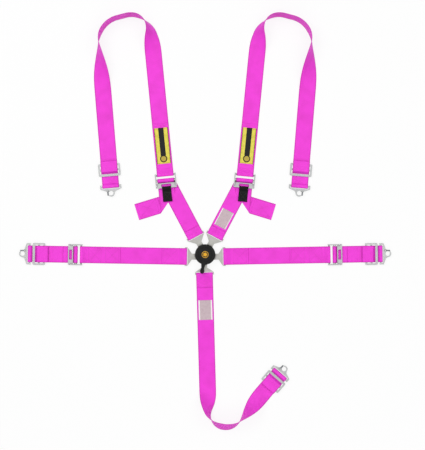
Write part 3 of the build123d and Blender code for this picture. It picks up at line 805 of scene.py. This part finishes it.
class Finish(Enum):
    """The finishes of the harness."""

    # the third colour of each webbing is the painted shade of its selvedges
    PINK = WovenWebbing("woven_polyester_pink", "#FF3DE6", "#F236D6", "#C42AA8")
    BLACK_WEB = WovenWebbing(
        "woven_polyester_black", "#0D0E0E", "#070808", "#050505",
        half_width=13.5, border=2.0, sheen=0.0, specular=0.2,
    )
    PINK_THREAD = SewingThread("bonded_nylon_pink", "#D92FBB", "#BD25A2")
    WHITE_THREAD = SewingThread("bonded_nylon_white", "#E8E4E2", "#C9C2C2")
    BLACK_THREAD = SewingThread("bonded_nylon_black", "#3A3A3E", "#232326")
    BRIGHT = PlatedSteel("zinc_plated_steel", "#DCDDDE", "#BDBFC1", 0.24)
    SATIN = PlatedSteel("satin_stainless_steel", "#CFCECA", "#B2B1AD", 0.33)
    DULL = PlatedSteel("oiled_spring_steel", "#8E9094", "#6C6E72", 0.38)
    ENAMEL = Enamel("stoved_black_enamel", "#0B0D0A", "#060706")
    BADGE = RaisedBadge("enamelled_brass", "#F0B43A", "#0B0D0A")
    LABEL = SatinLabel("woven_satin_label", "#D2BFC5", "#C6B0B8", "#A0858F", "#F6F2F1")
    PATCH = StripedPatch("woven_patch", "#E6DA58", "#D3C548", "#0E0F0C", "#B7A243")

    def material(self) -> bpy.types.Material:
        """The finish's material, made once."""
        return bpy.data.materials.get(self.value.name) or self.value.build()


# ---------------- pieces


class Cloth(Enum):
    """The kinds of cloth: the finish, the thread it is sewn with and its slot in the record."""

    PINK = (Finish.PINK, Finish.PINK_THREAD, "pink_webbing")
    BLACK = (Finish.BLACK_WEB, Finish.BLACK_THREAD, "black_webbing")
    PATCH = (Finish.PATCH, Finish.BLACK_THREAD, "yellow_patch")
    LABEL = (Finish.LABEL, Finish.WHITE_THREAD, "pale_label")


@dataclass(frozen=True)
class Maker:
    """Adds pieces to the frame: their finish, the body they ride on and what they stand for."""

    side: Side = Side.RIGHT
    suffix: str = ""

    def point(self, lane: Lane, u: float) -> tuple[float, float, float]:
        """A place on a strap along a lane, in metres, on this side."""
        x, y, z = (lane.place(np.array([u]), np.array([LOW]))[0] * MM).tolist()
        return (x * self.side.value, y, z)

    def piece(
        self, name: str, surfaces: list[Surface], finish: Finish, slot: str, body: str,
        between: Optional[tuple] = None,
    ) -> bpy.types.Object:
        """One piece with its finish, riding on a body unless between is given.

        Args:
            name: the piece's name without its side.
            surfaces: its surfaces.
            finish: its finish.
            slot: the record's slot; not used.
            body: the body's name without its side.
            between: another body, a start and an end; when given, the piece's transform is baked
            and it rides on no body, and these values are not used.

        Returns:
            The piece.
        """
        piece = make_object(name + self.suffix, surfaces, self.side)
        piece.data.materials.append(finish.material())
        if between is None:
            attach(piece, body + self.suffix)
        else:
            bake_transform(piece)
        log.info("%s: %d faces, %s", piece.name, len(piece.data.polygons), finish.value.name)
        return piece

    def strap(
        self, name: str, ribbon: Ribbon, body: str, seams: tuple[Surface, ...] = (),
        cloth: Cloth = Cloth.PINK, surface: Optional[Surface] = None, between: Optional[tuple] = None,
    ) -> None:
        """A length of cloth that stands for the CAD node of its name, and its stitching.

        Args:
            name: the node's name without its side.
            ribbon: the cloth's path.
            body: the body's name without its side.
            seams: the stitches on it.
            cloth: the kind of cloth.
            surface: the surface to use in place of the ribbon's own.
            between: as for piece.
        """
        finish, thread, slot = cloth.value
        if seams:
            title = name.removesuffix("_strap") + "_stitching"
            self.piece(title, list(seams), thread, slot, body)
        piece = self.piece(name + "_cloth", [surface or ribbon.surface()], finish, slot, body, between)
        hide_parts(name + self.suffix)


def tongue_route(sewn: float, bar_in: float) -> Route:
    """Round a tongue's bar, from the cut end of the ply sewn on top at u = sewn, to the floor.

    bar_in is the bar's inner edge.
    """
    top, under = 8.0, 3.4
    inside, past = bar_in - 1.1, bar_in + 7
    over_bar = [(sewn, SEWN), (past + 15, SEWN), (past, top), (inside, top)]
    return over_bar + [(inside, under), (past, under), (past + 7, LOW)], [6, 4, 2.2, 2.2, 3, 3]


def bar_route(place: float, sewn: float) -> Route:
    """Round an adjuster's fixed bar, from the floor to the cut end of the ply sewn on top."""
    far, near, down, top = place - 11.5, place - 17.5, place - 31, 8.0
    corners = [(far, LOW), (far, top), (near, top), (down, SEWN), (sewn, SEWN)]
    return corners, [3.3, 3.3, 4, 6]


def wrap_route(end: float) -> Route:
    """Round an adjuster's locking bar, from the cut under it to end beyond the lip."""
    under, near, far, top = 2.3, -4, 6, 13.2
    corners = [(2, LOW), (near, LOW), (near, top), (far, top), (far, under), (end, under)]
    return corners, [2.4, 4.9, 4.9, 1.8]


def hook_route(bar: float) -> Route:
    """Over a slide at u = 0, round the hook's bar, and back over the slide to the free end."""
    over_slide = [(-12.5, LOW), (-3.5, 7.3), (3.5, 7.3), (9.3, LOW)]
    round_bar = [(bar + 3.5, LOW), (bar + 5.6, 4.2), (bar + 3.5, 7.7), (bar - 3, 7.7), (bar - 8, 2.3)]
    back_over = [(10.1, 2.3), (4.3, 8.9), (-2.5, 8.9), (-12.5, 7.3), (-27, 6.7)]
    radii = [1.5] * 4 + [2.2] * 3 + [1.5, 2, 1.5, 1.5, 1.5, 4]
    return over_slide + round_bar + back_over, radii


@dataclass(frozen=True)
class StandingBend:
    """A bend in which the strap stands up on its edge.

    The tilt is the peak times the ease of the nearer of two shares: the distance from the
    start over rise, and the distance to the end over fall.
    """

    corners: Points
    radii: list[float]
    start: float
    slack: float
    rise: float
    fall: float
    peak: float
    half_width: float = 25.0
    step: float = 4.0
    arc: int = 24

    def ribbon(self) -> Ribbon:
        """The bend's stations between start and slack before the path's end."""
        line = rounded(self.corners, self.radii, self.step, self.arc)
        run_at = travelled(line)
        end = run_at[-1] - self.slack
        reached = np.linspace(self.start, end, int((end - self.start) / self.step))
        flat = np.stack([np.interp(reached, run_at, line[:, k]) for k in range(2)], 1)
        ahead = unit(np.gradient(flat, axis=0))
        share = np.minimum((reached - self.start) / self.rise, (end - reached) / self.fall)
        tilt = np.radians(self.peak) * smooth(share)
        left = np.stack([-ahead[:, 1], ahead[:, 0], np.zeros(len(flat))], 1)
        across = left * np.cos(tilt)[:, None] - UP * np.sin(tilt)[:, None]
        high = self.half_width * np.sin(tilt) + LOW * np.abs(np.cos(tilt))
        return Ribbon(np.column_stack([flat, high]), across)

    def carry(self, first: Ribbon, slide: Lane, reach: float) -> Ribbon:
        """A flat strap carried round the bend, flat again, and through its slide to its hook."""
        end, radii = hook_route(reach)
        last = Ribbon.on(slide, [(-self.slack, LOW)] + end, radii)
        return first.then(self.ribbon()).then(last)


# ---------------- sub-assemblies


@dataclass(frozen=True)
class LapBelt:
    """A lap belt: tongue to adjuster, and the adjustable end with its slide and hook."""

    frame: dict
    sewn: float = 130.0
    bar_in: float = 56.0
    adjuster: float = 386.5
    back_sewn: float = 254.0
    hinge: float = -15.0
    reach: float = 28.0
    tail: float = 40.0
    boxes: tuple = ((84, 124), (259, 299), (312, 350))

    def build(self, maker: Maker) -> None:
        """Both lengths of webbing, the wrap on the locking bar and the boxes of stitches."""
        lane = joint_lane(self.frame, "lap_adjuster_right_tilt", self.adjuster + self.hinge)
        slide = joint_lane(self.frame, "lap_hook_right_fold", self.reach)
        slide_at = (slide.x - lane.x) * lane.ahead_x + (slide.y - lane.y) * lane.ahead_y
        start, start_radii = tongue_route(self.sewn, self.bar_in)
        back, back_radii = bar_route(self.adjuster, self.back_sewn)
        seams = tuple(Thread().seam(lane, SEWN_TOP, box_seam(*box, SEAM_HALF)) for box in self.boxes)
        maker.strap("lap_strap", Ribbon.on(lane, start + back, start_radii + back_radii), "lap", seams)
        cut = self.adjuster + CUT
        end, end_radii = hook_route(self.reach)
        anchor = Ribbon.on(slide, [(cut - slide_at, LOW)] + end, end_radii)
        near = ("lap_adjuster", maker.point(lane, cut), maker.point(lane, cut + GIVE))
        maker.strap("lap_anchor", anchor, "lap", between=near)
        wrap = Ribbon.on(lane.moved(self.adjuster), *wrap_route(self.tail))
        maker.strap("lap_wrap", wrap, "lap_adjuster")


@dataclass(frozen=True)
class FoldedTail:
    """The shoulder strap's free end: round the locking bar, folded aside, and its end turned back.

    The webbing is folded flat under itself along a slanting line.  A point past the line is
    reflected across it and lies one fold lower; the fold is half a turn of radius bend.
    """

    tip: tuple[float, float] = (206.5, 128.0)
    tip_heading: float = -17.0
    turned_back: float = 72.0
    high: float = 2.3
    bend: float = 0.76
    drop: float = 1.5
    end_r: float = 0.72
    lean_over: float = 52.0
    top: float = 3.0
    box: tuple = (8, 66)

    @property
    def back(self) -> Lane:
        """The lane that runs back from the tip."""
        angle = math.radians(self.tip_heading)
        return Lane(*self.tip, -math.cos(angle), -math.sin(angle))

    def fold(self, lane: Lane) -> tuple[float, float, np.ndarray]:
        """Where the fold crosses the middle line, how far the tip lies past it, and its normal."""
        out, ahead = -self.back.ahead[:2], lane.ahead[:2]
        gap = np.array(self.tip) - np.array([lane.x, lane.y])
        at, past = np.linalg.solve(np.column_stack([ahead, out]), gap)
        normal = (ahead - out) / np.linalg.norm(ahead - out)
        return float(at), float(past), normal

    def build(self, lane: Lane) -> tuple[Ribbon, Surface]:
        """The flat ribbon along the adjuster's lane, and its folded surface."""
        fine_from, fine_to, fine_count = -2, 7, 30  # closer stations across the fold
        at, past, normal = self.fold(lane)
        wrap, wrap_radii = wrap_route(0)
        tip, back = at + past, self.high - self.drop
        points = wrap[:-1] + [(tip, self.high), (tip, back), (tip - self.turned_back, back)]
        ribbon = Ribbon.on(lane, points, wrap_radii + [self.end_r, self.end_r])
        u = (ribbon.centre - np.array([lane.x, lane.y, 0])) @ lane.ahead
        upper = np.abs(ribbon.centre[:, 2] - self.high) < 0.01
        fold_run = float(np.interp(at, u[upper], ribbon.run_length[upper]))
        ribbon = ribbon.refined(fold_run + fine_from, fold_run + fine_to, fine_count)
        ribbon.columns = 25
        slope = -(normal @ lane.left[:2]) / (normal @ lane.ahead[:2])
        ribbon.shear = slope * smooth(1 - np.abs(ribbon.run_length - fold_run) / self.lean_over)
        flat, faces, pattern = ribbon.surface()
        start = lane.moved(at)
        far = (flat[:, :2] / MM - np.array([start.x, start.y])) @ normal
        far = np.where(pattern[:, 0] / MM > fold_run - self.lean_over, far, -1.0)
        return ribbon, (self.bent(flat / MM, far, normal) * MM, faces, pattern)

    def bent(self, points: np.ndarray, far: np.ndarray, normal: np.ndarray) -> np.ndarray:
        """The points after the fold: past the line they wind down round it and run back.

        Args:
            points: the flat webbing's vertices in millimetres.
            far: how far each lies past the fold.
            normal: the flat unit vector across the fold.

        Returns:
            The folded vertices.
        """
        wound = np.clip(far / self.bend, 0, math.pi)
        beyond = np.maximum(far - math.pi * self.bend, 0)
        out = points[:, 2] - self.high
        reach = self.bend + out
        new_far = np.where(far > 0, reach * np.sin(wound) - beyond, far)
        new_high = np.where(far > 0, self.high - self.bend + reach * np.cos(wound), points[:, 2])
        flat = points[:, :2] + (new_far - far)[:, None] * normal
        return np.column_stack([flat, new_high])


@dataclass(frozen=True)
class SewnLabel:
    """A label or patch sewn flat on a strap, its middle at u along the lane."""

    node: str
    body: str
    lane: Lane
    u: float
    length: float
    width: float
    high: float = 1.65
    cloth: Cloth = Cloth.LABEL
    thread: Thread = Thread(stitch=2.4, pitch=3.2, width=0.6, height=0.45)
    insets: tuple[float, float] = (2.2, 2.2)
    thickness: float = 0.5

    def build(self, maker: Maker) -> None:
        """The label and the stitches round it."""
        start, end = self.u - self.length / 2, self.u + self.length / 2
        along, across = self.insets
        edge = box_seam(start + along, end - along, self.width / 2 - across, False)
        seam = self.thread.seam(self.lane, self.high + self.thickness / 2, edge)
        path = [(start, self.high), (end, self.high)]
        ribbon = Ribbon.on(self.lane, path, [], width=self.width, thickness=self.thickness)
        maker.strap(self.node, ribbon, self.body, (seam,), self.cloth)


@dataclass(frozen=True)
class ShoulderBelt:
    """A shoulder belt: lower strap, pull-down adjuster, upper strap with its patch, and hook."""

    frame: dict
    lower: Lane
    sewn: float = 88.0
    bar_in: float = 61.0
    tail: FoldedTail = FoldedTail()
    adjuster: float = 252.3
    hinge: float = -15.0
    upper_sewn: float = 170.0
    upper_flat: float = 365.0
    corners: tuple = ((168.0, 731.0), (323.0, 690.0))
    reach: float = 48.7
    slack: float = 225.0
    squaring: float = 60.0
    lower_rows: tuple = (84.6, 86.4)
    upper_rows: tuple = (161, 164.5)
    upper_box: tuple = (34, 45)

    def build(self, maker: Maker) -> None:
        """The webbing from tongue to hook, the tail, the patch, the tab and the stitching."""
        down = joint_lane(self.frame, "shoulder_adjuster_right_tilt", self.hinge)
        slide = joint_lane(self.frame, "shoulder_hook_right_fold", self.reach)
        self.lower_strap(maker, down)
        self.upper_strap(maker, down.turned(), slide)
        ribbon, surface = self.tail.build(down)
        seam = Thread().seam(self.tail.back, self.tail.top, box_seam(*self.tail.box, SEAM_HALF))
        maker.strap("shoulder_tail", ribbon, "shoulder_adjuster", (seam,), surface=surface)
        self.tab(maker, down)

    def lower_strap(self, maker: Maker, down: Lane) -> None:
        """The strap from the tongue to under the adjuster, cut square to the adjuster."""
        points, radii = tongue_route(self.sewn, self.bar_in)
        lean = self.lower.turn_to(down.turned())
        cut = self.adjuster - CUT / math.cos(lean)
        strap = Ribbon.on(self.lower, points + [(cut, LOW)], radii)
        strap.shear = -math.tan(lean) * smooth(1 - (strap.run_length[-1] - strap.run_length) / self.squaring)
        seam = Thread().seam(self.lower, SEWN_TOP, bar_seam(22, *self.lower_rows))
        near = ("shoulder_adjuster", maker.point(self.lower, cut), maker.point(self.lower, cut - GIVE))
        maker.strap("shoulder_lower", strap, "shoulder", (seam,), between=near)

    def upper_strap(self, maker: Maker, up: Lane, slide: Lane) -> None:
        """The strap from the adjuster, flat, round its standing bend and to the hook."""
        back, radii = bar_route(0, -self.upper_sewn)
        points = [(-u, z) for u, z in reversed(back)] + [(self.upper_flat, LOW)]
        corners = [(up.x, up.y), *self.corners, (slide.x, slide.y)]
        bend = StandingBend(corners, [60, 75], self.upper_flat, self.slack, rise=150, fall=200, peak=96)
        seams = (
            Thread().seam(up, SEWN_TOP, box_seam(*self.upper_box, SEAM_HALF, False)),
            Thread().seam(up, SEWN_TOP, bar_seam(21, *self.upper_rows)),
        )
        strap = bend.carry(Ribbon.on(up, points, radii[::-1]), slide, self.reach)
        maker.strap("shoulder_upper", strap, "shoulder", seams)
        SewnLabel(
            "shoulder_patch", "shoulder", up, u=103, length=108, width=42, high=2.95,
            cloth=Cloth.PATCH, thread=Thread(stitch=2.6, pitch=3.2, width=0.6, height=0.5), insets=(2.5, 2.6),
        ).build(maker)

    def tab(self, maker: Maker, down: Lane) -> None:
        """The release tab: black webbing through the lip's slot, its two plies sewn together."""
        end, inside, outside, over, top = 65, 19.6, 25.4, 9.7, 5.6
        path = [(end, 3.95), (inside, 4.0), (inside, over), (outside, over), (33, 5.1), (end, 5.05)]
        ribbon = Ribbon.on(down, path, [2.8, 2.8, 2.8, 4], width=27.0, thickness=1.1, columns=11)
        thread = Thread(stitch=2.6, pitch=3.2, width=0.7, height=0.5)
        seam = thread.seam(down, top, box_seam(38, 62, 10))
        maker.strap("release_tab", ribbon, "release_tab", (seam,), Cloth.BLACK)


@dataclass(frozen=True)
class CrotchBelt:
    """The crotch belt: down from the buckle, round a standing bend and up to its hook."""

    frame: dict
    sewn: float = 100.0
    bar_in: float = 56.0
    start: tuple[float, float] = (-3.8, 0.0)
    corner: tuple[float, float] = (13.0, -601.0)
    flat: float = 395.0
    slack: float = 32.0
    reach: float = 28.0
    box: tuple = (81, 97)

    def lane(self) -> Lane:
        """The lane from the buckle down."""
        step = np.array(self.corner) - np.array(self.start)
        return Lane(*self.start, *(step / np.linalg.norm(step)))

    def build(self, maker: Maker) -> None:
        """The webbing and its stitching."""
        lane = self.lane()
        slide = joint_lane(self.frame, "crotch_hook_fold", self.reach)
        points, radii = tongue_route(self.sewn, self.bar_in)
        first = Ribbon.on(lane, points + [(self.flat, LOW)], radii)
        corners = [self.start, self.corner, (slide.x, slide.y)]
        bend = StandingBend(corners, [54], self.flat, self.slack, rise=140, fall=170, peak=119)
        seam = Thread().seam(lane, SEWN_TOP, box_seam(*self.box, SEAM_HALF))
        maker.strap("crotch_strap", bend.carry(first, slide, self.reach), "crotch", (seam,))


@dataclass(frozen=True)
class CarrierSpring:
    """The spring that presses the locking pins down: round wire in a helix.

    A point of the wire's middle is the coil's radius out at the angle turned, and rises evenly
    with it; the wire's circle lies square to the helix.
    """

    turns: float = 3.0
    wire: float = 0.45
    coil: float = 7.4
    stations: int = 180
    sides: int = 10
    lift: float = 3.8
    clear: float = 0.1

    def build(self, maker: Maker) -> None:
        """The wire, a fixed helix from just above the node's floor to its top."""
        low, high = (corner[2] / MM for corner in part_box("carrier_spring"))
        low += self.clear
        length = high - low
        share = np.linspace(0, 1, self.stations)[:, None]
        turn = 2 * math.pi * self.turns * share
        rise = length - 2 * self.wire
        out = np.hstack([np.cos(turn), np.sin(turn), 0 * turn])
        centre = self.coil * out + (low + self.wire + rise * share) * UP
        beside = np.cross(unit(np.gradient(centre, axis=0)), out)
        angle = np.linspace(0, 2 * math.pi, self.sides, endpoint=False)[None, :, None]
        tube = centre[:, None] + self.wire * (np.cos(angle) * out[:, None] + np.sin(angle) * beside[:, None])
        index = np.arange(self.stations * self.sides).reshape(self.stations, self.sides)
        after = np.roll(index, -1, axis=1)
        walls = np.stack([index[:-1], after[:-1], after[1:], index[1:]], -1).reshape(-1, 4).tolist()
        faces = walls + [index[0][::-1].tolist(), index[-1].tolist()]
        pattern = np.stack(np.broadcast_arrays(share * rise, angle[..., 0]), -1).reshape(-1, 2) * MM
        surface = (tube.reshape(-1, 3) * MM, faces, pattern)
        spring = maker.piece("carrier_spring_wire", [surface], Finish.DULL, "plain_steel", "buckle")
        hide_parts("carrier_spring")
        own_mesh(spring)


METAL = {
    Finish.BRIGHT: ("slide", "hook", "adjuster", "base_screws"),
    Finish.SATIN: ("tongue", "lock_bar", "centre_pivot"),
    Finish.DULL: ("gate", "buckle_base", "carrier_spring", "pin_carrier", "cam_disc"),
    Finish.ENAMEL: ("buckle_housing", "release_lever"),
    Finish.BADGE: ("badge_disc",),
}


def dress_metal(frame: dict) -> None:
    """Give each metal node of the frame its finish."""
    for name, node in frame["nodes"].items():
        finish = next((f for f, keys in METAL.items() if any(key in name for key in keys)), None)
        if finish is None:
            continue
        node.data.materials.clear()
        node.data.materials.append(finish.material())
        log.info("%s: %s", name, finish.value.name)


# ---------------- studio


@dataclass(frozen=True)
class Studio:
    """A white floor, a soft overhead sky, three large lamps and a camera straight above.

    The floor lies just under the harness and reaches half metres each way; glow is the share
    of plain white that the camera and reflections see in it.
    """

    aim: tuple[float, float] = (0.022, 0.088)
    height: float = 3.75
    lens: float = 100.0
    half: float = 40.0
    under: float = 0.0004
    glow: float = 0.86

    def floor(self) -> None:
        """The floor: white to the camera and to reflections, and it keeps the object's shadow."""
        look = Look("studio_floor")
        feed(look.tree, look.shader, Base_Color=shade("#F4F4F4"), Roughness=0.9)
        rays = add(look.tree, "LightPath").outputs
        seen = look.calc("MAXIMUM", rays["Is Camera Ray"], rays["Is Glossy Ray"])
        glow = add(look.tree, "Emission", Color=(1.0, 1.0, 1.0, 1.0), Strength=1.0).outputs[0]
        share = look.calc("MULTIPLY", seen, self.glow)
        mixed = add(look.tree, "MixShader", in0=share, in1=look.shader.outputs[0], in2=glow)
        feed(look.tree, look.output, Surface=mixed.outputs[0])
        mesh = bpy.data.meshes.new("floor")
        signs = ((-1, -1), (1, -1), (1, 1), (-1, 1))
        corners = [(x * self.half, y * self.half, -self.under) for x, y in signs]
        mesh.from_pydata(corners, [], [(0, 1, 2, 3)])
        mesh.materials.append(look.material)
        new_object("floor", mesh)

    def sky(self) -> None:
        """The world: bright overhead and darker low down, so that metal shows its form."""
        world = bpy.data.worlds.new("studio_sky")
        world.use_nodes = True
        tree = world.node_tree
        tree.nodes.clear()
        place = add(tree, "TexCoord").outputs["Generated"]
        up = add(tree, "SeparateXYZ", Vector=place).outputs["Z"]
        colour = ramp(tree, up, (0.0, "#33363B"), (0.35, "#8F9399"), (0.75, "#FFFFFD"))
        back = add(tree, "Background", Color=colour, Strength=0.8)
        add(tree, "OutputWorld", Surface=back.outputs[0])
        bpy.context.scene.world = world

    def lamp(self, name: str, place: tuple[float, float, float], size: float, power: float) -> None:
        """A square soft lamp that faces the buckle."""
        light = bpy.data.lights.new(name, "AREA")
        light.size = size
        light.energy = power
        lamp = new_object(name, light)
        lamp.location = place
        x, y, z = place
        lamp.rotation_euler = (math.atan2(math.hypot(x, y), z), 0.0, math.atan2(y, x) + math.pi / 2)

    def camera(self) -> None:
        """The camera looks straight down, with +Y at the top of the view."""
        lens = bpy.data.cameras.new("camera")
        lens.lens = self.lens
        lens.sensor_width = 36.0
        camera = new_object("camera", lens)
        camera.location = (*self.aim, self.height)
        bpy.context.scene.camera = camera

    def build(self) -> None:
        """The whole studio."""
        self.camera()
        self.floor()
        self.sky()
        self.lamp("key_lamp", (-1.6, 1.4, 2.8), size=1.6, power=36.0)
        self.lamp("fill_lamp", (1.9, 0.9, 2.6), size=1.8, power=18.0)
        self.lamp("low_lamp", (0.3, -2.2, 1.8), size=1.4, power=12.0)
        bpy.context.scene.view_settings.view_transform = "Standard"


def main() -> None:
    """Build the harness's looks round the frame."""
    logging.basicConfig(level=logging.INFO, format="%(name)s %(message)s")
    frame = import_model()
    Studio().build()
    dress_metal(frame)
    lower = pin_lane(frame, "shoulder_tongue_right_swivel")
    for maker in (Maker(Side.RIGHT, "_right"), Maker(Side.LEFT, "_left")):
        LapBelt(frame).build(maker)
        ShoulderBelt(frame, lower).build(maker)
    crotch, maker = CrotchBelt(frame), Maker()
    crotch.build(maker)
    CarrierSpring().build(maker)
    SewnLabel("crotch_label", "crotch", crotch.lane(), u=167, length=59, width=41).build(maker)
    SewnLabel("shoulder_label", "shoulder_right", lower, u=121, length=55, width=37).build(maker)


if __name__ == "__main__":
    main()
